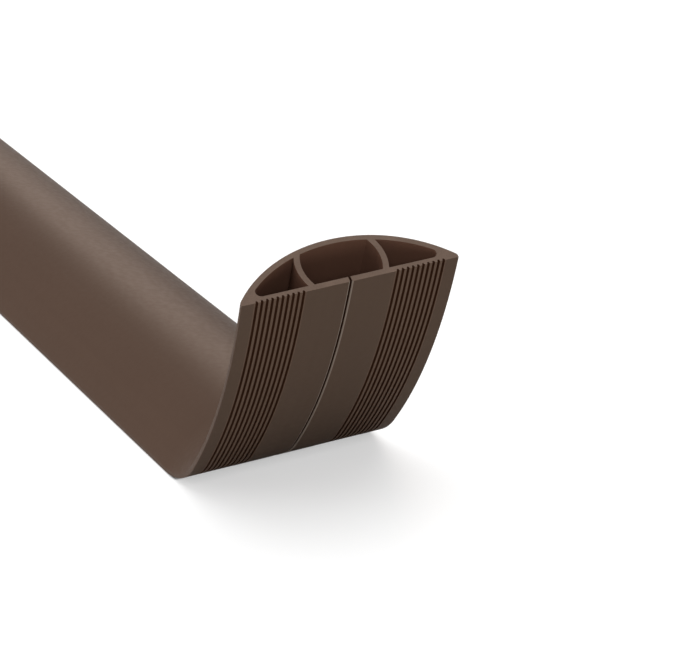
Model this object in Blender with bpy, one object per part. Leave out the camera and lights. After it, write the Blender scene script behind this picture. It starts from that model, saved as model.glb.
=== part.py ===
"""Floor cord cover: one length of soft extruded plastic with three cord channels.

The cover lies along X with its underside on Z = 0. Its near end, at +X, is curled up off the floor.
Y runs across it. The origin is under the middle of its whole box. Lengths are in metres.
"""
import math

import bmesh
import bpy

NAME = "floor_cord_cover"

# Length along the underside, flat stretch and curled end together
LENGTH = 1.000

# Curled end: a tight bend off the floor, then a gentler one up to the end face
BEND_RADIUS = 0.059
BEND_ANGLE = math.radians(38.5)
CURL_LENGTH = 0.114
TIP_ANGLE = math.radians(58.5)
STATION_ANGLE = math.radians(4.9)

# Section
WIDTH = 0.080
HEIGHT = 0.020
EDGE_HEIGHT = 0.0014
EDGE_ROUND = 0.0012
DOME_WALL = 0.0021
BASE_WALL = 0.0022

# Two webs, bowed outwards, part the three channels
WEB_WALL = 0.0021
WEB_FOOT = 0.0137
WEB_BOW = 0.0014
NOSE_ROUND = 0.0021

# Slit along the middle of the underside, with bevelled lips
SLIT = 0.0008
SLIT_LIP = 0.0004

# Grip grooves along the underside, on each side of the middle band
GROOVES = 10
GROOVE_PITCH = 0.0019
GROOVE_FIRST = 0.0173
GROOVE_MOUTH = 0.0010
GROOVE_FLOOR = 0.0006
GROOVE_DEPTH = 0.0008

# Facets of the round stretches
ARC_STEP = math.radians(3.2)
WEB_STEPS = 6
ROUND_STEPS = 3

WELD = 0.00001
COLOUR = (0.119, 0.080, 0.058, 1.0)

HALF = WIDTH / 2
DOME_RADIUS = (HALF ** 2 + (HEIGHT - EDGE_HEIGHT) ** 2) / (2 * (HEIGHT - EDGE_HEIGHT))
DOME_CENTRE = HEIGHT - DOME_RADIUS
ROOF_RADIUS = DOME_RADIUS - DOME_WALL
CURL_RADIUS = CURL_LENGTH / (TIP_ANGLE - BEND_ANGLE)
BEND_LENGTH = BEND_RADIUS * BEND_ANGLE
FLAT_LENGTH = LENGTH - BEND_LENGTH - CURL_LENGTH
CURL_REACH = (BEND_RADIUS - CURL_RADIUS) * math.sin(BEND_ANGLE) + CURL_RADIUS * math.sin(TIP_ANGLE)
BEND_START = (FLAT_LENGTH - CURL_REACH) / 2


def clear_scene():
    for obj in list(bpy.data.objects):
        bpy.data.objects.remove(obj, do_unlink=True)


def arc(centre_y, centre_z, radius, start, end, steps):
    """Points on a circle from one angle to another, both ends included. Angles run from +Y towards +Z."""
    turn = (end - start) / steps
    angles = [start + turn * step for step in range(steps + 1)]
    return [(centre_y + radius * math.cos(a), centre_z + radius * math.sin(a)) for a in angles]


def dome_arc(radius, start, end):
    """A stretch of the dome's or the roof's circle, in facets of about ARC_STEP."""
    steps = max(2, round(abs(end - start) / ARC_STEP))
    return arc(0.0, DOME_CENTRE, radius, start, end, steps)


def mirrored(points):
    """The same stretch on the other side, run the other way."""
    return [(-y, z) for y, z in reversed(points)]


def web_face(offset):
    """One face of the +Y web, from the floor of the channels up to their roof.

    The web's middle line is a circle through its foot, its bow and its head, and its faces lie beside it.
    """
    head_height = DOME_CENTRE + math.sqrt(ROOF_RADIUS ** 2 - WEB_FOOT ** 2)
    half_height = (head_height - BASE_WALL) / 2
    middle = BASE_WALL + half_height
    bow_radius = (half_height ** 2 + WEB_BOW ** 2) / (2 * WEB_BOW)
    centre = WEB_FOOT + WEB_BOW - bow_radius
    radius = bow_radius + offset
    foot_angle = math.asin((BASE_WALL - middle) / radius)
    head_angle = circle_meets_roof(centre, middle, radius)
    return arc(centre, middle, radius, foot_angle, head_angle, WEB_STEPS)


def circle_meets_roof(centre_y, centre_z, radius):
    """Angle, seen from the given circle's centre, at which the circle crosses the roof's circle above it."""
    dy, dz = -centre_y, DOME_CENTRE - centre_z
    apart = math.hypot(dy, dz)
    along = (radius ** 2 + apart ** 2 - ROOF_RADIUS ** 2) / (2 * radius * apart)
    return math.atan2(dz, dy) + math.acos(along)


def roof_angle(point):
    return math.atan2(point[1] - DOME_CENTRE, point[0])


def grooved_base():
    """The +Y half of the underside, from the slit's lip out to the side edge."""
    points = [(SLIT / 2 + SLIT_LIP, 0.0)]
    for groove in range(GROOVES):
        y = GROOVE_FIRST + groove * GROOVE_PITCH
        points.append((y - GROOVE_MOUTH / 2, 0.0))
        points.append((y - GROOVE_FLOOR / 2, GROOVE_DEPTH))
        points.append((y + GROOVE_FLOOR / 2, GROOVE_DEPTH))
        points.append((y + GROOVE_MOUTH / 2, 0.0))
    points.append((HALF, 0.0))
    return points


def rounded_edge():
    """The +Y side edge's top corner, a small round between the edge and the dome."""
    centre_y = HALF - EDGE_ROUND
    reach = DOME_RADIUS - EDGE_ROUND
    centre_z = DOME_CENTRE + math.sqrt(reach ** 2 - centre_y ** 2)
    end = math.atan2(centre_z - DOME_CENTRE, centre_y)
    return arc(centre_y, centre_z, EDGE_ROUND, 0.0, end, ROUND_STEPS)


def outer_outline():
    """The outside with the middle channel, which the slit opens to the underside."""
    edge = rounded_edge()
    dome = dome_arc(DOME_RADIUS, roof_angle(edge[-1]), math.pi - roof_angle(edge[-1]))
    right = grooved_base() + edge
    outside = right + dome[1:-1] + mirrored(right)
    inner_face = web_face(-WEB_WALL / 2)
    slit_side = [(SLIT / 2, BASE_WALL), (SLIT / 2, SLIT_LIP)]
    roof_end = roof_angle(inner_face[-1])
    roof = dome_arc(ROOF_RADIUS, math.pi - roof_end, roof_end)
    channel = mirrored(slit_side) + mirrored(inner_face)[::-1] + roof[1:-1] + inner_face[::-1] + slit_side
    return outside + channel


def side_channel():
    """The +Y side channel: floor, rounded nose, roof and the web's outer face."""
    outer_face = web_face(WEB_WALL / 2)
    nose_z = BASE_WALL + NOSE_ROUND
    nose_y = math.sqrt((ROOF_RADIUS - NOSE_ROUND) ** 2 - (nose_z - DOME_CENTRE) ** 2)
    nose_end = math.atan2(nose_z - DOME_CENTRE, nose_y)
    nose = arc(nose_y, nose_z, NOSE_ROUND, -math.pi / 2, nose_end, 2 * ROUND_STEPS)
    roof = dome_arc(ROOF_RADIUS, nose_end, roof_angle(outer_face[-1]))
    return nose + roof[1:-1] + outer_face[::-1]


def add_spline(curve, points):
    spline = curve.splines.new("POLY")
    spline.points.add(len(points) - 1)
    for point, (y, z) in zip(spline.points, points):
        point.co = (y, z, 0.0, 1.0)
    spline.use_cyclic_u = True


def extruded_section(collection):
    """The section as a filled flat curve, pushed out to the whole length along X."""
    curve = bpy.data.curves.new(NAME + "_section", "CURVE")
    curve.dimensions = "2D"
    curve.fill_mode = "BOTH"
    curve.extrude = LENGTH / 2
    add_spline(curve, outer_outline())
    channel = side_channel()
    add_spline(curve, channel)
    add_spline(curve, mirrored(channel))
    section = bpy.data.objects.new(NAME + "_section", curve)
    collection.objects.link(section)
    # Local X goes across the cover, local Y up and local Z along it
    section.rotation_euler = (math.pi / 2, 0.0, math.pi / 2)
    section.location = (BEND_START - FLAT_LENGTH + LENGTH / 2, 0.0, 0.0)
    return section


def as_mesh(section, collection):
    """The curve as one closed mesh with its caps welded on."""
    bpy.context.view_layer.update()
    evaluated = section.evaluated_get(bpy.context.evaluated_depsgraph_get())
    mesh = bpy.data.meshes.new_from_object(evaluated)
    cover = bpy.data.objects.new(NAME, mesh)
    cover.matrix_world = section.matrix_world.copy()
    collection.objects.link(cover)
    bpy.data.objects.remove(section, do_unlink=True)
    mesh.transform(cover.matrix_world)
    cover.matrix_world.identity()
    return cover


def stations():
    """Places along X, before bending, at which the curled end gets a ring of edges."""
    bend_steps = math.ceil(BEND_ANGLE / STATION_ANGLE)
    curl_steps = math.ceil((TIP_ANGLE - BEND_ANGLE) / STATION_ANGLE)
    bend = [BEND_LENGTH * step / bend_steps for step in range(bend_steps + 1)]
    curl = [BEND_LENGTH + CURL_LENGTH * step / curl_steps for step in range(1, curl_steps)]
    return [BEND_START + along for along in bend + curl]


def bent(x, z):
    """Where a point at x along and z above the underside of the straight strip goes on the curled one."""
    along = x - BEND_START
    if along <= 0.0:
        return x, z
    if along <= BEND_LENGTH:
        angle = along / BEND_RADIUS
        base_x = BEND_RADIUS * math.sin(angle)
        base_z = BEND_RADIUS * (1.0 - math.cos(angle))
    else:
        angle = BEND_ANGLE + (along - BEND_LENGTH) / CURL_RADIUS
        base_x = (BEND_RADIUS - CURL_RADIUS) * math.sin(BEND_ANGLE) + CURL_RADIUS * math.sin(angle)
        base_z = BEND_RADIUS + (CURL_RADIUS - BEND_RADIUS) * math.cos(BEND_ANGLE) - CURL_RADIUS * math.cos(angle)
    return BEND_START + base_x - z * math.sin(angle), base_z + z * math.cos(angle)


def curl_end(cover):
    """Cuts rings of edges across the near end and bends it up."""
    mesh = bmesh.new()
    mesh.from_mesh(cover.data)
    bmesh.ops.remove_doubles(mesh, verts=mesh.verts, dist=WELD)
    for x in stations():
        parts = mesh.verts[:] + mesh.edges[:] + mesh.faces[:]
        bmesh.ops.bisect_plane(mesh, geom=parts, dist=WELD, plane_co=(x, 0.0, 0.0), plane_no=(1.0, 0.0, 0.0))
    for vert in mesh.verts:
        vert.co.x, vert.co.z = bent(vert.co.x, vert.co.z)
    bmesh.ops.recalc_face_normals(mesh, faces=mesh.faces)
    mesh.to_mesh(cover.data)
    mesh.free()


def soft_plastic():
    material = bpy.data.materials.new("soft_brown_plastic")
    material.use_nodes = True
    shader = material.node_tree.nodes["Principled BSDF"]
    shader.inputs["Base Color"].default_value = COLOUR
    shader.inputs["Roughness"].default_value = 0.6
    shader.inputs["Metallic"].default_value = 0.0
    return material


def main():
    clear_scene()
    collection = bpy.data.collections.new(NAME)
    bpy.context.scene.collection.children.link(collection)
    cover = as_mesh(extruded_section(collection), collection)
    curl_end(cover)
    cover.data.materials.append(soft_plastic())
    cover.data.shade_smooth()
    cover.data.set_sharp_from_angle(angle=math.radians(30.0))


main()
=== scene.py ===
"""Looks of the floor cord cover: its fine surface, its finishes, a pale floor and soft studio light.

The strip lies along X on the floor plane Z = 0, and its near end is curled up at +X. Lengths are in metres.
"""
import math

import bmesh
import bpy
from bpy.props import FloatProperty, FloatVectorProperty, IntProperty, PointerProperty
from mathutils import Matrix, Vector


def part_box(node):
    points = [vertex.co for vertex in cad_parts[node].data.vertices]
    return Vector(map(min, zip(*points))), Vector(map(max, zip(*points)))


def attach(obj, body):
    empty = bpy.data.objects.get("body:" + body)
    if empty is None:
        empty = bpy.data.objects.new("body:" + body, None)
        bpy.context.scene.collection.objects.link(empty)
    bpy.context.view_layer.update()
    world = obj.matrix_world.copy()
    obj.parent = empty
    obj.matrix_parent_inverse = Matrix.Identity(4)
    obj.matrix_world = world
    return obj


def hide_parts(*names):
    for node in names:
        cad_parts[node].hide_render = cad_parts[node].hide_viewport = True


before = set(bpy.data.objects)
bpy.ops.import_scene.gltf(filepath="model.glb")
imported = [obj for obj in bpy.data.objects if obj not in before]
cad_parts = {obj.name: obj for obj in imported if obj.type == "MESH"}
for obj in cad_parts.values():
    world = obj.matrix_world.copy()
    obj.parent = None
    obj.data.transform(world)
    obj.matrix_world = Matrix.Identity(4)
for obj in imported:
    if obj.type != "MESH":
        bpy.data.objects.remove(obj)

bl_info = {
    "name": "Floor Cord Cover",
    "version": (1, 0, 0),
    "blender": (4, 5, 0),
    "location": "View3D > Sidebar > Cord Cover",
    "description": "Models a length of floor cord cover with one end curled up, on a studio floor",
    "category": "Object",
}

NODE = "floor_cord_cover"
STRIP = "cover_strip"
BODY = "root"
CAD_LOW, CAD_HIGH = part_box(NODE)

# The photograph's frame, in pixels, and the camera's sensor width, in millimetres
PHOTO_WIDTH = 679
SENSOR_WIDTH = 36.0

# How far raw pieces run past the strip's ends: the webs stay inside the bar, and cutters run past it
WEB_OVERRUN = 0.005
BAR_OVERRUN = 0.010
CUTTER_OVERRUN = 0.020
# How far the slit's cutter reaches below the underside
SLIT_BELOW = 0.010
# An edge longer than this runs along the strip
LONG_EDGE = 0.010

# How near a vertex has to be to a place to count as there, and to another vertex to be merged with it
NEAR = 0.00002
MERGE = NEAR / 10
# How far the dome's facets may put its foot from the exact height
FACET_SLACK = 0.0001

# Directions, and the two sides of the strip's middle
ALONG = Vector((1.0, 0.0, 0.0))
ACROSS = Vector((0.0, 1.0, 0.0))
UP = Vector((0.0, 0.0, 1.0))
SIDES = (-1.0, 1.0)

# Name of the attribute that holds each point's place on the straight strip: along, across and up
STRAIGHT = "straight"

# Names of the node groups
GRAIN = "matte_grain"
LINES = "drawn_lines"
DRIFT = "tone_drift"

# Detail of the noise patterns, and scale of the coarser ones beside the fine ones
FINE_DETAIL = 2.0
CLUMP_DETAIL = 3.0
CLUMP_SCALE = 0.2
STREAK_DETAIL = 1.0
STREAK_SCALE = 0.3
PATCH_DETAIL = 2.0

# Range of the grain's speckle that the roughness follows
SPECKLE_LOW = 0.3
SPECKLE_HIGH = 0.7

# Share of a slit lip's round over which its painted highlight fades
LIP_FADE = 0.25
# How much deeper the drawn lines are inside the channels
CHANNEL_LINES = 2.0
# Knife marks and patches of a cut end, as shares of the drawn lines and of the patches elsewhere
MARK_WIDTH = 0.5
MARK_RUN = 0.05
CUT_PATCH = 0.1

# Numbers of a Mix node's colour sockets
MIX_FACTOR = 0
MIX_FIRST = 6
MIX_SECOND = 7
MIX_RESULT = 2

WHITE = (1.0, 1.0, 1.0)

# Shares of open sky at which a point of the floor counts as hidden and as free
GAP_SHUT = 0.4
GAP_OPEN = 0.9


class CoverSizes(bpy.types.PropertyGroup):
    """Real sizes of the strip."""

    width: FloatProperty(
        name="Width", description="Across the underside", subtype="DISTANCE",
        default=CAD_HIGH.y - CAD_LOW.y,
    )
    height: FloatProperty(
        name="Height", description="From the floor to the crown", subtype="DISTANCE", default=0.020
    )
    edge_height: FloatProperty(
        name="Edge height", description="Upright side edge under the dome", subtype="DISTANCE",
        default=0.0014,
    )
    edge_round: FloatProperty(
        name="Edge round", description="Radius between side edge and dome", subtype="DISTANCE",
        default=0.0012,
    )
    dome_wall: FloatProperty(
        name="Dome wall", description="Thickness of the dome", subtype="DISTANCE", default=0.0021
    )
    base_wall: FloatProperty(
        name="Base wall", description="Thickness of the base", subtype="DISTANCE", default=0.0022
    )
    web_wall: FloatProperty(
        name="Web wall", description="Thickness of a web", subtype="DISTANCE", default=0.0021
    )
    web_foot: FloatProperty(
        name="Web foot", description="From the middle to a web's foot", subtype="DISTANCE", default=0.0137
    )
    web_bow: FloatProperty(
        name="Web bow", description="How far a web bulges outwards", subtype="DISTANCE", default=0.0014
    )
    nose_round: FloatProperty(
        name="Nose round", description="Radius at a side channel's thin end", subtype="DISTANCE",
        default=0.0021,
    )
    slit: FloatProperty(name="Slit", description="Width of the slit", subtype="DISTANCE", default=0.0008)
    slit_lip: FloatProperty(
        name="Slit lip", description="Round of the slit's lips", subtype="DISTANCE", default=0.0004
    )
    grooves: IntProperty(name="Grooves", description="Grip grooves on each side of the slit", default=10)
    groove_pitch: FloatProperty(
        name="Groove pitch", description="From groove to groove", subtype="DISTANCE", default=0.0019
    )
    groove_first: FloatProperty(
        name="First groove", description="From the middle to the nearest groove", subtype="DISTANCE",
        default=0.0173,
    )
    groove_mouth: FloatProperty(
        name="Groove mouth", description="Width at the underside", subtype="DISTANCE", default=0.0010
    )
    groove_floor: FloatProperty(
        name="Groove floor", description="Width at the bottom", subtype="DISTANCE", default=0.0006
    )
    groove_depth: FloatProperty(
        name="Groove depth", description="Into the base", subtype="DISTANCE", default=0.0008
    )
    bend_radius: FloatProperty(
        name="Bend radius", description="Underside of the tight bend", subtype="DISTANCE", default=0.059
    )
    bend_angle: FloatProperty(
        name="Bend angle", description="Turn of the tight bend", subtype="ANGLE",
        default=math.radians(38.5),
    )
    curl_length: FloatProperty(
        name="Curl length", description="Underside of the gentle bend", subtype="DISTANCE", default=0.114
    )
    tip_angle: FloatProperty(
        name="Tip angle", description="Slope at the end face", subtype="ANGLE", default=math.radians(58.5)
    )


class CoverFinish(bpy.types.PropertyGroup):
    """Colours and surface of the soft plastic."""

    skin: FloatVectorProperty(
        name="Skin", description="Colour of the dome", subtype="COLOR", size=4,
        default=(0.0690, 0.0432, 0.0312, 1.0),
    )
    underside: FloatVectorProperty(
        name="Underside", description="Colour of the base", subtype="COLOR", size=4,
        default=(0.0610, 0.0402, 0.0287, 1.0),
    )
    # Painted light: the ribs are coloured lighter than the plain bands, for the light their tops catch
    rib_painted_light: FloatVectorProperty(
        name="Rib", description="Colour between the grooves", subtype="COLOR", size=4,
        default=(0.079, 0.0505, 0.0358, 1.0),
    )
    # Painted highlight: the pale colour of the slit's rounded lips
    lip: FloatVectorProperty(
        name="Slit lip", description="Colour of the slit's lips", subtype="COLOR", size=4,
        default=(0.150, 0.118, 0.096, 1.0),
    )
    # Painted shade: the dark colour inside the grooves and down the slit
    groove: FloatVectorProperty(
        name="Groove", description="Colour inside a groove", subtype="COLOR", size=4,
        default=(0.028, 0.0110, 0.0050, 1.0),
    )
    # Depth over which the painted shade comes in, in a groove and below the slit's lips
    painted_shade_depth: FloatProperty(
        name="Groove edge", description="Depth at which a groove is fully dark", subtype="DISTANCE",
        default=0.00008,
    )
    # Painted light: lighter and redder than the dome, standing in for the light that reaches into the
    # channels
    channel: FloatVectorProperty(
        name="Channel", description="Colour inside a channel", subtype="COLOR", size=4,
        default=(0.110, 0.0560, 0.0375, 1.0),
    )
    cut: FloatVectorProperty(
        name="Cut end", description="Colour of a cut end face", subtype="COLOR", size=4,
        default=(0.115, 0.080, 0.062, 1.0),
    )
    drift: FloatProperty(
        name="Drift", description="How much a colour varies over the strip", default=0.06
    )
    patch: FloatProperty(
        name="Patch", description="Width of a lighter or darker patch", subtype="DISTANCE", default=0.060
    )
    skin_roughness: FloatProperty(name="Skin roughness", description="Of the dome", default=0.45)
    base_roughness: FloatProperty(
        name="Base roughness", description="Of underside and channels", default=0.60
    )
    cut_roughness: FloatProperty(name="Cut roughness", description="Of a cut end face", default=0.75)
    roughness_spread: FloatProperty(
        name="Roughness spread", description="How much the roughness varies each way", default=0.03
    )
    gloss: FloatProperty(name="Gloss", description="Specular level of the plastic", default=0.02)
    grain_size: FloatProperty(
        name="Grain size", description="Width of one grain of the matte skin", subtype="DISTANCE",
        default=0.0005,
    )
    grain_depth: FloatProperty(
        name="Grain depth", description="Depth of the matte grain", subtype="DISTANCE", default=0.000006
    )
    line_width: FloatProperty(
        name="Line width", description="Width of a drawn line", subtype="DISTANCE", default=0.0008
    )
    line_run: FloatProperty(
        name="Line run", description="Length over which a drawn line fades", subtype="DISTANCE",
        default=0.25,
    )
    line_depth: FloatProperty(
        name="Line depth", description="Depth of the drawn lines", subtype="DISTANCE", default=0.00001
    )
    cut_grain: FloatProperty(
        name="Cut grain", description="Width of one grain of a cut end", subtype="DISTANCE",
        default=0.0001,
    )
    cut_speckle: FloatProperty(
        name="Cut speckle", description="How much a cut end's grains vary", default=0.35
    )
    knife_turn: FloatProperty(
        name="Knife marks", description="Slant of the marks on a cut end", subtype="ANGLE",
        default=math.radians(12.0),
    )


class StageLook(bpy.types.PropertyGroup):
    """Floor, light and camera."""

    floor: FloatVectorProperty(
        name="Floor", description="Colour of the floor", subtype="COLOR", size=4,
        default=(0.85, 0.85, 0.85, 1.0),
    )
    floor_seen: FloatVectorProperty(
        name="Floor seen", description="Colour of the floor under its lift", subtype="COLOR", size=4,
        default=(0.52, 0.52, 0.52, 1.0),
    )
    floor_size: FloatProperty(
        name="Floor size", description="Side of the floor", subtype="DISTANCE", default=40.0
    )
    floor_roughness: FloatProperty(name="Floor roughness", description="Of the floor", default=0.9)
    floor_lift: FloatProperty(
        name="Floor lift", description="How far the seen floor is lifted", default=0.57
    )
    floor_gap: FloatProperty(
        name="Floor gap", description="Narrow gaps down to which the floor stays dark",
        subtype="DISTANCE", default=0.0015,
    )
    wall_light: FloatProperty(
        name="Wall light", description="Strength of the light from the walls", default=0.3
    )
    wall_seen: FloatProperty(
        name="Wall seen", description="Brightness of the walls to the camera", default=1.0
    )
    ceiling_light: FloatProperty(
        name="Ceiling light", description="Strength of the light overhead", default=2.2
    )
    ceiling_low: FloatProperty(
        name="Ceiling starts", description="Angle above the floor", subtype="ANGLE",
        default=math.radians(44.0),
    )
    ceiling_high: FloatProperty(
        name="Ceiling is full", description="Angle above the floor", subtype="ANGLE",
        default=math.radians(64.0),
    )
    side_place: FloatVectorProperty(
        name="Side place", description="Where the side light stands", subtype="XYZ", size=3,
        default=(-0.4, -1.8, 0.45),
    )
    side_size: FloatProperty(
        name="Side size", description="Side of the side light", subtype="DISTANCE", default=1.2
    )
    side_power: FloatProperty(
        name="Side power", description="Of the side light", subtype="POWER", default=22.0
    )
    front_place: FloatVectorProperty(
        name="Front place", description="Where the front light stands", subtype="XYZ", size=3,
        default=(1.75, -0.35, 0.75),
    )
    front_size: FloatProperty(
        name="Front size", description="Side of the front light", subtype="DISTANCE", default=0.6
    )
    front_power: FloatProperty(
        name="Front power", description="Of the front light", subtype="POWER", default=11.0
    )
    back_place: FloatVectorProperty(
        name="Back place", description="Where the back light stands", subtype="XYZ", size=3,
        default=(-2.35, 1.13, 1.03),
    )
    back_size: FloatProperty(
        name="Back size", description="Side of the back light", subtype="DISTANCE", default=0.9
    )
    back_power: FloatProperty(
        name="Back power", description="Of the back light", subtype="POWER", default=23.5
    )
    back_colour: FloatVectorProperty(
        name="Back colour", description="Of the back light", subtype="COLOR", size=3,
        default=(1.0, 0.82, 0.70),
    )
    target: FloatVectorProperty(
        name="Target", description="Point on the floor in the frame's middle", subtype="XYZ", size=3,
        default=(0.2683, 0.0731, 0.0),
    )
    distance: FloatProperty(
        name="Distance", description="From camera to target", subtype="DISTANCE", default=1.2985
    )
    azimuth: FloatProperty(
        name="Azimuth", description="Heading of the view from +X", subtype="ANGLE",
        default=math.radians(159.39),
    )
    elevation: FloatProperty(
        name="Elevation", description="How far the view looks down", subtype="ANGLE",
        default=math.radians(19.80),
    )
    roll: FloatProperty(
        name="Roll", description="Turn of the camera about its view", subtype="ANGLE",
        default=math.radians(-5.93),
    )
    focal_pixels: FloatProperty(
        name="Focal length", description="In pixels of the photograph's frame", default=3125.5
    )


# Helpers for modelling


def deselect():
    if bpy.context.mode != "OBJECT":
        bpy.ops.object.mode_set(mode="OBJECT")
    bpy.ops.object.select_all(action="DESELECT")


def pick(obj):
    deselect()
    obj.select_set(True)
    bpy.context.view_layer.objects.active = obj


def edit(obj, kind="VERT"):
    pick(obj)
    bpy.ops.object.mode_set(mode="EDIT")
    bpy.ops.mesh.select_mode(type=kind)
    bpy.ops.mesh.select_all(action="DESELECT")


def leave_edit():
    bpy.ops.object.mode_set(mode="OBJECT")


def select_vertices(obj, at_place):
    """In edit mode, selects the vertices whose place passes the test."""
    mesh = bmesh.from_edit_mesh(obj.data)
    for vert in mesh.verts:
        vert.select = at_place(vert.co)
    mesh.select_flush_mode()
    bmesh.update_edit_mesh(obj.data)


def select_edges(obj, at_place, least):
    """In edit mode, selects the edges of at least that length whose two ends both pass the test."""
    mesh = bmesh.from_edit_mesh(obj.data)
    for edge in mesh.edges:
        edge.select = edge.calc_length() >= least and all(at_place(vert.co) for vert in edge.verts)
    bmesh.update_edit_mesh(obj.data)


def select_faces(obj, at_place):
    """In edit mode, selects the faces whose corners all pass the test."""
    mesh = bmesh.from_edit_mesh(obj.data)
    for face in mesh.faces:
        face.select = all(at_place(vert.co) for vert in face.verts)
    bmesh.update_edit_mesh(obj.data)


def turn_outwards():
    """In edit mode, turns every face outwards."""
    bpy.ops.mesh.select_all(action="SELECT")
    bpy.ops.mesh.normals_make_consistent(inside=False)


def trim(obj, point, normal):
    """Cuts away all that lies on the normal's side of a plane, and closes the cut."""
    edit(obj)
    bpy.ops.mesh.select_all(action="SELECT")
    bpy.ops.mesh.bisect(plane_co=point, plane_no=normal, use_fill=True, clear_outer=True, threshold=MERGE)
    leave_edit()


def bevel_edges(obj, at_place, offset, segments, least=0.0):
    """Rounds the edges at a place that are at least so long."""
    edit(obj, "EDGE")
    select_edges(obj, at_place, least)
    bpy.ops.mesh.bevel(
        offset=offset, offset_type="OFFSET", segments=segments, affect="EDGES", clamp_overlap=True
    )
    leave_edit()


def boolean(obj, other, operation):
    """Cuts another object from this one, or joins it on, and removes the other."""
    pick(obj)
    modifier = obj.modifiers.new(operation.lower(), "BOOLEAN")
    modifier.operation = operation
    modifier.object = other
    modifier.solver = "EXACT"
    bpy.ops.object.modifier_apply(modifier=modifier.name)
    bpy.data.objects.remove(other, do_unlink=True)


def named_in_place(name):
    """Names the object just added and moves its place, turn and size into its mesh."""
    obj = bpy.context.object
    obj.name = name
    bpy.ops.object.transform_apply(location=True, rotation=True, scale=True)
    return obj


def rod(name, radius, y, z, start, end, sides):
    """A round rod along X between two places."""
    deselect()
    bpy.ops.mesh.primitive_cylinder_add(
        vertices=sides, radius=radius, depth=end - start, end_fill_type="NGON",
        location=((start + end) / 2, y, z), rotation=(0.0, math.pi / 2, 0.0),
    )
    return named_in_place(name)


def block(name, low, high):
    """A block between two corners."""
    deselect()
    middle = [(a + b) / 2 for a, b in zip(low, high)]
    bpy.ops.mesh.primitive_cube_add(size=1.0, location=middle, scale=[b - a for a, b in zip(low, high)])
    return named_in_place(name)


# Places worked out from the sizes


class Plan:
    """Radii, centres and places that follow from the sizes and the frame."""

    def __init__(self, sizes):
        rise = sizes.height - sizes.edge_height
        self.half = sizes.width / 2
        self.dome_radius = (self.half ** 2 + rise ** 2) / (2 * rise)
        self.dome_centre = sizes.height - self.dome_radius
        self.roof_radius = self.dome_radius - sizes.dome_wall
        self.curl_radius = sizes.curl_length / (sizes.tip_angle - sizes.bend_angle)
        self.bend_length = sizes.bend_radius * sizes.bend_angle
        sine, cosine = math.sin(sizes.bend_angle), math.cos(sizes.bend_angle)
        reach = (sizes.bend_radius - self.curl_radius) * sine + self.curl_radius * math.sin(sizes.tip_angle)
        self.far = CAD_LOW.x
        self.bend = CAD_HIGH.x - reach
        self.bend_centre = Vector((self.bend, 0.0, sizes.bend_radius))
        spare = sizes.bend_radius - self.curl_radius
        self.curl_centre = self.bend_centre + Vector((spare * sine, 0.0, -spare * cosine))
        nose_reach = self.roof_radius - sizes.nose_round
        self.nose_z = sizes.base_wall + sizes.nose_round
        self.nose_y = math.sqrt(nose_reach ** 2 - (self.nose_z - self.dome_centre) ** 2)
        head = self.dome_centre + math.sqrt(self.roof_radius ** 2 - sizes.web_foot ** 2)
        half_height = (head - sizes.base_wall) / 2
        self.web_middle = sizes.base_wall + half_height
        self.web_radius = (half_height ** 2 + sizes.web_bow ** 2) / (2 * sizes.web_bow)
        self.web_centre = sizes.web_foot + sizes.web_bow - self.web_radius
        self.web_top = head + sizes.dome_wall / 2
        self.web_bottom = sizes.base_wall / 2

    def straightened(self, point, sizes):
        """Where a point of the curled strip lies on the straight one: along, across and up."""
        if point.x <= self.bend:
            return Vector((point.x, point.y, point.z))
        away = point - self.bend_centre
        angle = math.atan2(away.x, -away.z)
        if angle <= sizes.bend_angle:
            up = sizes.bend_radius - math.hypot(away.x, away.z)
            return Vector((self.bend + sizes.bend_radius * angle, point.y, up))
        away = point - self.curl_centre
        angle = math.atan2(away.x, -away.z)
        along = self.bend + self.bend_length + self.curl_radius * (angle - sizes.bend_angle)
        return Vector((along, point.y, self.curl_radius - math.hypot(away.x, away.z)))


# The strip


# Facets of a full circle of the dome, of a web and of a side channel's nose
DOME_FACETS = 336
WEB_FACETS = 160
NOSE_FACETS = 48
# Segments of the rounded side edges, and of the slit's lips and the grooves' bottoms
ROUND_SEGMENTS = 5
LIP_SEGMENTS = 4
# Rings of the tight bend and of the gentle one
BEND_STEPS = 32
CURL_STEPS = 20
# Share of half a groove's bottom that its rounded corner takes up
GROOVE_ROUND = 0.8
# Faces that meet at less than this angle are shaded as one surface
SMOOTH_ANGLE = math.radians(25.0)


def domed_bar(sizes, plan):
    """The outside of the strip as a solid bar: a long rod cut to a dome with upright edges."""
    start, end = plan.far - BAR_OVERRUN, plan.bend + BAR_OVERRUN
    bar = rod(STRIP, plan.dome_radius, 0.0, plan.dome_centre, start, end, DOME_FACETS)
    trim(bar, Vector(), -UP)
    for side in SIDES:
        trim(bar, side * plan.half * ACROSS, side * ACROSS)
    turn = math.asin(plan.half / plan.dome_radius)
    offset = sizes.edge_round * math.tan((math.pi / 2 - turn) / 2)

    def at_corner(co):
        return abs(abs(co.y) - plan.half) < NEAR and abs(co.z - sizes.edge_height) < FACET_SLACK

    bevel_edges(bar, at_corner, offset, ROUND_SEGMENTS)
    return bar


def hollow(sizes, plan):
    """The space under the dome with its two round noses, as one solid to cut with."""
    start, end = plan.far - CUTTER_OVERRUN, plan.bend + CUTTER_OVERRUN
    space = rod("hollow", plan.roof_radius, 0.0, plan.dome_centre, start, end, DOME_FACETS)
    trim(space, sizes.base_wall * UP, -UP)
    for side in SIDES:
        trim(space, side * plan.nose_y * ACROSS, side * ACROSS)
    noses = [
        rod("nose", sizes.nose_round, side * plan.nose_y, plan.nose_z, start, end, NOSE_FACETS)
        for side in SIDES
    ]
    pick(space)
    for nose in noses:
        nose.select_set(True)
    bpy.ops.object.join()
    edit(space)
    bpy.ops.mesh.select_all(action="SELECT")
    bpy.ops.mesh.convex_hull()
    turn_outwards()
    leave_edit()
    return space


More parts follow.
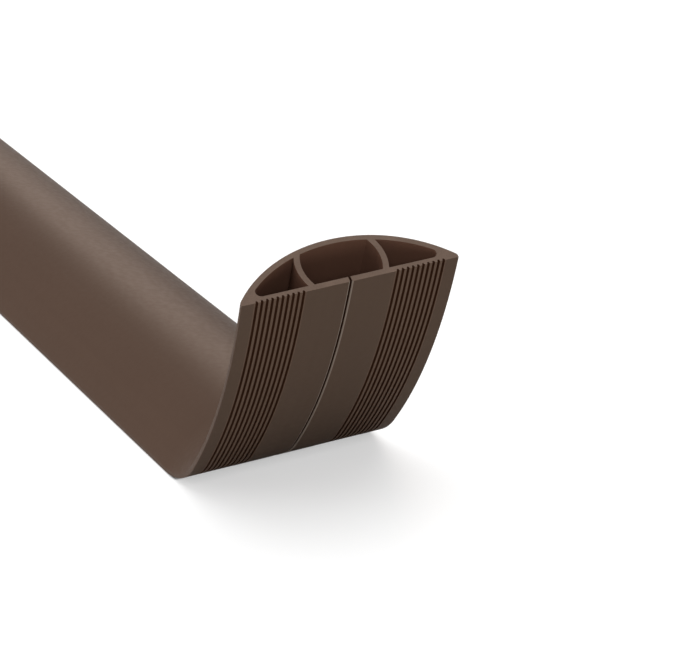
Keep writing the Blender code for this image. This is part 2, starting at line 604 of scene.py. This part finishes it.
def web(sizes, plan, side):
    """One bowed web: an arc drawn out to a sheet and given its thickness, its foot and head cut level."""
    start, end = plan.far - WEB_OVERRUN, plan.bend + WEB_OVERRUN
    deselect()
    bpy.ops.mesh.primitive_circle_add(
        vertices=WEB_FACETS, radius=plan.web_radius, fill_type="NOTHING",
        location=(start, side * plan.web_centre, plan.web_middle), rotation=(0.0, math.pi / 2, 0.0),
    )
    sheet = named_in_place("web")
    edit(sheet)
    reach = plan.web_top - plan.web_bottom
    select_vertices(sheet, lambda co: co.y * side < 0.0 or abs(co.z - plan.web_middle) > reach)
    bpy.ops.mesh.delete(type="VERT")
    bpy.ops.mesh.select_all(action="SELECT")
    bpy.ops.mesh.extrude_region_move(TRANSFORM_OT_translate={"value": (end - start, 0.0, 0.0)})
    leave_edit()
    solidify = sheet.modifiers.new("wall", "SOLIDIFY")
    solidify.thickness = sizes.web_wall
    solidify.offset = 0.0
    bpy.ops.object.modifier_apply(modifier=solidify.name)
    edit(sheet)
    turn_outwards()
    leave_edit()
    trim(sheet, plan.web_top * UP, UP)
    trim(sheet, plan.web_bottom * UP, -UP)
    return sheet


def slit_cutter(sizes, plan):
    """A thin block through the base, from below the underside into the middle channel."""
    half = sizes.slit / 2
    low = (plan.far - CUTTER_OVERRUN, -half, -SLIT_BELOW)
    high = (plan.bend + CUTTER_OVERRUN, half, sizes.base_wall + sizes.slit)
    return block("slit", low, high)


def groove_cutters(sizes, plan):
    """One tapered groove with a rounded bottom, repeated over both fields of the underside."""
    mouth, floor = sizes.groove_mouth / 2, sizes.groove_floor / 2
    middle = sizes.groove_first
    # The block reaches as far below the underside as into it, so its lower face is wider than the mouth
    widen = mouth + (mouth - floor)
    low = (plan.far - CUTTER_OVERRUN, middle - widen, -sizes.groove_depth)
    high = (plan.bend + CUTTER_OVERRUN, middle + widen, sizes.groove_depth)
    cutter = block("grooves", low, high)
    edit(cutter)
    select_vertices(cutter, lambda co: co.z > 0.0)
    bpy.ops.transform.resize(value=(1.0, floor / widen, 1.0), center_override=(0.0, middle, 0.0))
    leave_edit()
    bevel_edges(cutter, lambda co: co.z > 0.0, floor * GROOVE_ROUND, LIP_SEGMENTS, LONG_EDGE)
    row = cutter.modifiers.new("row", "ARRAY")
    row.count = sizes.grooves
    row.use_relative_offset = False
    row.use_constant_offset = True
    row.constant_offset_displace = (0.0, sizes.groove_pitch, 0.0)
    bpy.ops.object.modifier_apply(modifier=row.name)
    both = cutter.modifiers.new("both", "MIRROR")
    both.use_axis = (False, True, False)
    both.use_mirror_merge = False
    bpy.ops.object.modifier_apply(modifier=both.name)
    return cutter


def curl_up(strip, sizes, plan):
    """Spins the near end face up through the tight bend and then through the gentle one."""
    edit(strip, "FACE")
    select_faces(strip, lambda co: co.x > plan.bend - NEAR)
    bends = (
        (BEND_STEPS, sizes.bend_angle, plan.bend_centre),
        (CURL_STEPS, sizes.tip_angle - sizes.bend_angle, plan.curl_centre),
    )
    for steps, angle, centre in bends:
        bpy.ops.mesh.spin(steps=steps, angle=angle, center=centre, axis=ACROSS, dupli=False)
    bpy.ops.mesh.select_all(action="SELECT")
    bpy.ops.mesh.remove_doubles(threshold=MERGE)
    turn_outwards()
    leave_edit()


def model_strip(sizes):
    """The whole strip: bar, hollow, webs, slit, grooves, rounded lips, square ends, and then the curl."""
    plan = Plan(sizes)
    strip = domed_bar(sizes, plan)
    boolean(strip, hollow(sizes, plan), "DIFFERENCE")
    for side in SIDES:
        boolean(strip, web(sizes, plan, side), "UNION")
    boolean(strip, slit_cutter(sizes, plan), "DIFFERENCE")
    boolean(strip, groove_cutters(sizes, plan), "DIFFERENCE")

    def at_lip(co):
        return abs(abs(co.y) - sizes.slit / 2) < NEAR and abs(co.z) < NEAR

    bevel_edges(strip, at_lip, sizes.slit_lip, LIP_SEGMENTS)
    trim(strip, plan.far * ALONG, -ALONG)
    trim(strip, plan.bend * ALONG, ALONG)
    curl_up(strip, sizes, plan)
    return strip, plan


def store_places(strip, sizes, plan):
    """Writes each point's place on the straight strip, which the materials' patterns follow."""
    mesh = strip.data
    places = [plan.straightened(vert.co, sizes) for vert in mesh.vertices]
    mesh.attributes.new(STRAIGHT, "FLOAT_VECTOR", "POINT")
    mesh.attributes[STRAIGHT].data.foreach_set("vector", [value for place in places for value in place])


# Node groups that several finishes share


def feed(tree, socket, value):
    """Links another socket into this one, or sets it to a plain value."""
    if isinstance(value, bpy.types.NodeSocket):
        tree.links.new(value, socket)
    else:
        socket.default_value = value


def math_node(tree, operation, first, second=0.0):
    node = tree.nodes.new("ShaderNodeMath")
    node.operation = operation
    feed(tree, node.inputs[0], first)
    feed(tree, node.inputs[1], second)
    return node.outputs[0]


def ramp(tree, value, low, high, start, end):
    """Runs smoothly from start to end as the value goes from low to high."""
    node = tree.nodes.new("ShaderNodeMapRange")
    node.interpolation_type = "SMOOTHSTEP"
    for socket, number in zip(node.inputs, (value, low, high, start, end)):
        feed(tree, socket, number)
    return node.outputs["Result"]


def noise(tree, place, scale, detail):
    node = tree.nodes.new("ShaderNodeTexNoise")
    feed(tree, node.inputs["Vector"], place)
    feed(tree, node.inputs["Scale"], scale)
    node.inputs["Detail"].default_value = detail
    return node.outputs["Fac"]


def blend_colours(tree, mask, first, second):
    node = tree.nodes.new("ShaderNodeMix")
    node.data_type = "RGBA"
    feed(tree, node.inputs[MIX_FACTOR], mask)
    feed(tree, node.inputs[MIX_FIRST], first)
    feed(tree, node.inputs[MIX_SECOND], second)
    return node.outputs[MIX_RESULT]


def new_group(name, inputs, outputs):
    """A node group with named sockets, with the sockets inside it to read from and to feed."""
    group = bpy.data.node_groups.new(name, "ShaderNodeTree")
    for label, kind in inputs:
        group.interface.new_socket(name=label, in_out="INPUT", socket_type=kind)
    for label, kind in outputs:
        group.interface.new_socket(name=label, in_out="OUTPUT", socket_type=kind)
    given = group.nodes.new("NodeGroupInput").outputs
    wanted = group.nodes.new("NodeGroupOutput").inputs
    return group, given, wanted


def matte_grain_group():
    """The fine matte grain of soft plastic: a height for bump and a speckle for roughness."""
    inputs = [("Place", "NodeSocketVector"), ("Grain size", "NodeSocketFloat")]
    outputs = [("Height", "NodeSocketFloat"), ("Speckle", "NodeSocketFloat")]
    group, given, wanted = new_group(GRAIN, inputs, outputs)
    scale = math_node(group, "DIVIDE", 1.0, given["Grain size"])
    clumps = math_node(group, "MULTIPLY", scale, CLUMP_SCALE)
    feed(group, wanted["Height"], noise(group, given["Place"], scale, FINE_DETAIL))
    feed(group, wanted["Speckle"], noise(group, given["Place"], clumps, CLUMP_DETAIL))


def drawn_lines_group():
    """Faint lines that the die leaves along the strip, each a little way long before it fades."""
    inputs = [("Place", "NodeSocketVector"), ("Line width", "NodeSocketFloat"), ("Run", "NodeSocketFloat")]
    outputs = [("Height", "NodeSocketFloat"), ("Streak", "NodeSocketFloat")]
    group, given, wanted = new_group(LINES, inputs, outputs)
    size = group.nodes.new("ShaderNodeCombineXYZ")
    feed(group, size.inputs["X"], given["Run"])
    feed(group, size.inputs["Y"], given["Line width"])
    feed(group, size.inputs["Z"], given["Line width"])
    stretched = group.nodes.new("ShaderNodeVectorMath")
    stretched.operation = "DIVIDE"
    feed(group, stretched.inputs[0], given["Place"])
    feed(group, stretched.inputs[1], size.outputs[0])
    feed(group, wanted["Height"], noise(group, stretched.outputs[0], 1.0, FINE_DETAIL))
    feed(group, wanted["Streak"], noise(group, stretched.outputs[0], STREAK_SCALE, STREAK_DETAIL))


def tone_drift_group():
    """Lets a colour grow a little lighter and darker in soft patches and along the drawn lines."""
    inputs = [
        ("Color", "NodeSocketColor"), ("Place", "NodeSocketVector"), ("Patch", "NodeSocketFloat"),
        ("Streak", "NodeSocketFloat"), ("Drift", "NodeSocketFloat"),
    ]
    group, given, wanted = new_group(DRIFT, inputs, [("Color", "NodeSocketColor")])
    patches = noise(group, given["Place"], math_node(group, "DIVIDE", 1.0, given["Patch"]), PATCH_DETAIL)
    both = math_node(group, "ADD", patches, given["Streak"])
    centred = math_node(group, "SUBTRACT", both, 1.0)
    change = math_node(group, "MULTIPLY", centred, given["Drift"])
    value = group.nodes.new("ShaderNodeHueSaturation")
    feed(group, value.inputs["Value"], math_node(group, "ADD", change, 1.0))
    feed(group, value.inputs["Color"], given["Color"])
    feed(group, wanted["Color"], value.outputs["Color"])


def use_group(tree, name, **values):
    """Places a node group in a material. Underscores in a keyword stand for spaces in the socket's name."""
    node = tree.nodes.new("ShaderNodeGroup")
    node.node_tree = bpy.data.node_groups[name]
    for label, value in values.items():
        feed(tree, node.inputs[label.replace("_", " ")], value)
    return node.outputs


# Finishes of the strip


def new_material(name):
    material = bpy.data.materials.new(name)
    material.use_nodes = True
    tree = material.node_tree
    return material, tree, tree.nodes["Principled BSDF"]


def strip_place(tree):
    """The point's place on the straight strip, which every pattern follows round the curl."""
    node = tree.nodes.new("ShaderNodeAttribute")
    node.attribute_name = STRAIGHT
    return node.outputs["Vector"]


def axis_of(tree, place, axis):
    node = tree.nodes.new("ShaderNodeSeparateXYZ")
    feed(tree, node.inputs[0], place)
    return node.outputs[axis]


def bump(tree, height, distance, below=None):
    node = tree.nodes.new("ShaderNodeBump")
    node.inputs["Distance"].default_value = distance
    feed(tree, node.inputs["Height"], height)
    if below is not None:
        feed(tree, node.inputs["Normal"], below)
    return node.outputs["Normal"]


def plastic_surface(tree, shader, finish, colour, roughness, grain, marks, mark_depth):
    """What every face of the strip has: its colour, a speckled roughness, and marks over the grain."""
    feed(tree, shader.inputs["Base Color"], colour)
    spread = finish.roughness_spread
    rough = ramp(tree, grain["Speckle"], SPECKLE_LOW, SPECKLE_HIGH, roughness - spread, roughness + spread)
    feed(tree, shader.inputs["Roughness"], rough)
    grained = bump(tree, grain["Height"], finish.grain_depth)
    feed(tree, shader.inputs["Normal"], bump(tree, marks["Height"], mark_depth, grained))
    shader.inputs["Specular IOR Level"].default_value = finish.gloss


def drawn_surface(tree, shader, finish, colour, roughness, place, line_depth):
    """Colour drift, matte grain and drawn lines, which all the drawn faces of the strip share."""
    grain = use_group(tree, GRAIN, Place=place, Grain_size=finish.grain_size)
    lines = use_group(tree, LINES, Place=place, Line_width=finish.line_width, Run=finish.line_run)
    drift = use_group(
        tree, DRIFT, Color=colour, Place=place, Patch=finish.patch, Streak=lines["Streak"],
        Drift=finish.drift,
    )
    plastic_surface(tree, shader, finish, drift["Color"], roughness, grain, lines, line_depth)


def skin_material(finish):
    """The smooth dome and the side edges."""
    material, tree, shader = new_material("cover_skin")
    place = strip_place(tree)
    drawn_surface(tree, shader, finish, finish.skin, finish.skin_roughness, place, finish.line_depth)
    return material


def underside_material(finish, sizes):
    """The base: plain bands, a ribbed field on each side lightened with painted light, grooves and slit
    darkened with painted shade, and a painted highlight on the slit lips.
    """
    material, tree, shader = new_material("cover_underside")
    place = strip_place(tree)
    across = math_node(tree, "ABSOLUTE", axis_of(tree, place, "Y"))
    up = axis_of(tree, place, "Z")
    field_half = sizes.grooves * sizes.groove_pitch / 2
    field_middle = sizes.groove_first + field_half - sizes.groove_pitch / 2
    from_middle = math_node(tree, "ABSOLUTE", math_node(tree, "SUBTRACT", across, field_middle))
    ribbed = math_node(tree, "LESS_THAN", from_middle, field_half)
    # Painted light: the ribbed field takes the lighter rib colour
    colour = blend_colours(tree, ribbed, finish.underside, finish.rib_painted_light)
    lip_end = sizes.slit / 2 + sizes.slit_lip
    # Painted highlight on the rounded lips of the slit
    lip = ramp(tree, across, lip_end, lip_end + sizes.slit_lip * LIP_FADE, 1.0, 0.0)
    colour = blend_colours(tree, lip, colour, finish.lip)
    # Painted shade: a groove darkens from the underside up, and the slit from the top of its rounded lips
    in_slit = math_node(tree, "LESS_THAN", across, lip_end)
    dark_from = math_node(tree, "MULTIPLY", in_slit, sizes.slit_lip)
    dark_at = math_node(tree, "ADD", dark_from, finish.painted_shade_depth)
    painted_shade = ramp(tree, up, dark_from, dark_at, 0.0, 1.0)
    colour = blend_colours(tree, painted_shade, colour, finish.groove)
    drawn_surface(tree, shader, finish, colour, finish.base_roughness, place, finish.line_depth)
    return material


def channel_material(finish):
    """The walls of the channels, a lighter, redder brown than the dome as painted light inside them, with
    stronger drawn lines.
    """
    material, tree, shader = new_material("cover_channel")
    place = strip_place(tree)
    line_depth = CHANNEL_LINES * finish.line_depth
    drawn_surface(tree, shader, finish, finish.channel, finish.base_roughness, place, line_depth)
    return material


def cut_material(finish):
    """A cut end: paler, drier plastic with fine knife marks across the section."""
    material, tree, shader = new_material("cover_cut_end")
    place = strip_place(tree)
    turned = tree.nodes.new("ShaderNodeMapping")
    turned.inputs["Rotation"].default_value = (finish.knife_turn, 0.0, math.pi / 2)
    feed(tree, turned.inputs["Vector"], place)
    marks = use_group(
        tree, LINES, Place=turned.outputs[0], Line_width=finish.line_width * MARK_WIDTH,
        Run=finish.line_run * MARK_RUN,
    )
    grain = use_group(tree, GRAIN, Place=place, Grain_size=finish.cut_grain)
    drift = use_group(
        tree, DRIFT, Color=finish.cut, Place=place, Patch=finish.patch * CUT_PATCH, Streak=grain["Speckle"],
        Drift=finish.cut_speckle,
    )
    plastic_surface(
        tree, shader, finish, drift["Color"], finish.cut_roughness, grain, marks, finish.line_depth
    )
    return material


def dress_strip(strip, finish, sizes, plan):
    """Gives each face its finish by where it lies on the straight strip."""
    matte_grain_group()
    drawn_lines_group()
    tone_drift_group()
    materials = (
        skin_material(finish),
        underside_material(finish, sizes),
        channel_material(finish),
        cut_material(finish),
    )
    for material in materials:
        strip.data.materials.append(material)
    skin, underside, channel, cut = range(len(materials))
    end = plan.bend + plan.bend_length + sizes.curl_length
    for face in strip.data.polygons:
        corners = [plan.straightened(strip.data.vertices[i].co, sizes) for i in face.vertices]
        middle = sum(corners, Vector()) / len(corners)
        inside = math.hypot(middle.y, middle.z - plan.dome_centre) < plan.roof_radius + NEAR
        if all(co.x < plan.far + NEAR for co in corners) or all(co.x > end - NEAR for co in corners):
            face.material_index = cut
        elif inside and middle.z > sizes.base_wall - NEAR:
            face.material_index = channel
        elif middle.z < sizes.base_wall and abs(middle.y) < plan.half - sizes.edge_round:
            face.material_index = underside
        else:
            face.material_index = skin


# Stage


def studio_floor(look):
    """A plain white floor, which the camera sees lifted and which lights the strip unlifted.

    The lift stops in gaps narrower than floor_gap, so that no floor shines through the slit.
    """
    deselect()
    bpy.ops.mesh.primitive_plane_add(size=look.floor_size, location=(0.0, 0.0, 0.0))
    floor = bpy.context.object
    floor.name = "studio_floor"
    material, tree, shader = new_material("pale_floor")
    seen = tree.nodes.new("ShaderNodeLightPath").outputs["Is Camera Ray"]
    feed(tree, shader.inputs["Base Color"], blend_colours(tree, seen, look.floor, look.floor_seen))
    around = tree.nodes.new("ShaderNodeAmbientOcclusion")
    around.inputs["Distance"].default_value = look.floor_gap
    clear = ramp(tree, around.outputs["AO"], GAP_SHUT, GAP_OPEN, 0.0, look.floor_lift)
    feed(tree, shader.inputs["Emission Strength"], math_node(tree, "MULTIPLY", seen, clear))
    shader.inputs["Emission Color"].default_value = look.floor
    shader.inputs["Roughness"].default_value = look.floor_roughness
    shader.inputs["Specular IOR Level"].default_value = 0.0
    floor.data.materials.append(material)


def soft_light(name, place, aim, size, power, colour=WHITE):
    """A square area light turned towards a point."""
    data = bpy.data.lights.new(name, "AREA")
    data.color = colour
    data.shape = "SQUARE"
    data.size = size
    data.energy = power
    light = bpy.data.objects.new(name, data)
    bpy.context.scene.collection.objects.link(light)
    light.location = place
    light.rotation_euler = (Vector(aim) - Vector(place)).to_track_quat("-Z", "Y").to_euler()


def studio_world(look):
    """Light from all round: dim walls, which the camera sees white, and a bright ceiling."""
    world = bpy.data.worlds.new("studio_air")
    world.use_nodes = True
    tree = world.node_tree
    direction = tree.nodes.new("ShaderNodeTexCoord").outputs["Generated"]
    rise = axis_of(tree, direction, "Z")
    start, end = math.sin(look.ceiling_low), math.sin(look.ceiling_high)
    light = ramp(tree, rise, start, end, look.wall_light, look.ceiling_light)
    seen = tree.nodes.new("ShaderNodeLightPath").outputs["Is Camera Ray"]
    strength = ramp(tree, seen, 0.0, 1.0, light, look.wall_seen)
    background = tree.nodes["Background"]
    background.inputs["Color"].default_value = (*WHITE, 1.0)
    feed(tree, background.inputs["Strength"], strength)
    bpy.context.scene.world = world


def studio_camera(look):
    """The camera, aimed at the target from its distance and turned about its view by the roll."""
    ahead = Vector((math.cos(look.azimuth), math.sin(look.azimuth), 0.0))
    forward = math.cos(look.elevation) * ahead - math.sin(look.elevation) * UP
    right = ahead.cross(UP)
    up = right.cross(forward)
    turned_right = math.cos(look.roll) * right + math.sin(look.roll) * up
    turned_up = math.cos(look.roll) * up - math.sin(look.roll) * right
    data = bpy.data.cameras.new("studio_camera")
    data.sensor_fit = "HORIZONTAL"
    data.sensor_width = SENSOR_WIDTH
    data.lens = look.focal_pixels / PHOTO_WIDTH * SENSOR_WIDTH
    camera = bpy.data.objects.new("studio_camera", data)
    bpy.context.scene.collection.objects.link(camera)
    turn = Matrix((turned_right, turned_up, -forward)).transposed().to_4x4()
    camera.matrix_world = Matrix.Translation(Vector(look.target) - look.distance * forward) @ turn
    bpy.context.scene.camera = camera


# Operators and panel


class OBJECT_OT_cord_cover_strip(bpy.types.Operator):
    """Models the strip with its curled end and gives it its finishes"""

    bl_idname = "object.cord_cover_strip"
    bl_label = "Cover strip"

    def execute(self, context):
        sizes, finish = context.scene.cover_sizes, context.scene.cover_finish
        strip, plan = model_strip(sizes)
        store_places(strip, sizes, plan)
        dress_strip(strip, finish, sizes, plan)
        pick(strip)
        bpy.ops.object.shade_smooth_by_angle(angle=SMOOTH_ANGLE)
        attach(strip, BODY)
        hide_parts(NODE)
        return {"FINISHED"}


class SCENE_OT_cord_cover_stage(bpy.types.Operator):
    """Adds the pale floor, the soft light and the camera"""

    bl_idname = "scene.cord_cover_stage"
    bl_label = "Stage"

    def execute(self, context):
        look = context.scene.stage_look
        studio_floor(look)
        studio_world(look)
        soft_light("side_light", look.side_place, look.target, look.side_size, look.side_power)
        soft_light("front_light", look.front_place, look.target, look.front_size, look.front_power)
        soft_light(
            "back_light", look.back_place, look.target, look.back_size, look.back_power,
            look.back_colour,
        )
        studio_camera(look)
        context.scene.view_settings.view_transform = "Standard"
        return {"FINISHED"}


class VIEW3D_PT_cord_cover(bpy.types.Panel):
    bl_label = "Floor Cord Cover"
    bl_idname = "VIEW3D_PT_cord_cover"
    bl_space_type = "VIEW_3D"
    bl_region_type = "UI"
    bl_category = "Cord Cover"

    def draw(self, context):
        layout = self.layout
        layout.operator(OBJECT_OT_cord_cover_strip.bl_idname)
        layout.operator(SCENE_OT_cord_cover_stage.bl_idname)


CLASSES = (
    CoverSizes,
    CoverFinish,
    StageLook,
    OBJECT_OT_cord_cover_strip,
    SCENE_OT_cord_cover_stage,
    VIEW3D_PT_cord_cover,
)


def register():
    for cls in CLASSES:
        bpy.utils.register_class(cls)
    bpy.types.Scene.cover_sizes = PointerProperty(type=CoverSizes)
    bpy.types.Scene.cover_finish = PointerProperty(type=CoverFinish)
    bpy.types.Scene.stage_look = PointerProperty(type=StageLook)


def unregister():
    del bpy.types.Scene.stage_look
    del bpy.types.Scene.cover_finish
    del bpy.types.Scene.cover_sizes
    for cls in reversed(CLASSES):
        bpy.utils.unregister_class(cls)


def main():
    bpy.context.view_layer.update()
    register()
    bpy.ops.object.cord_cover_strip()
    bpy.ops.scene.cord_cover_stage()


if __name__ == "__main__":
    main()
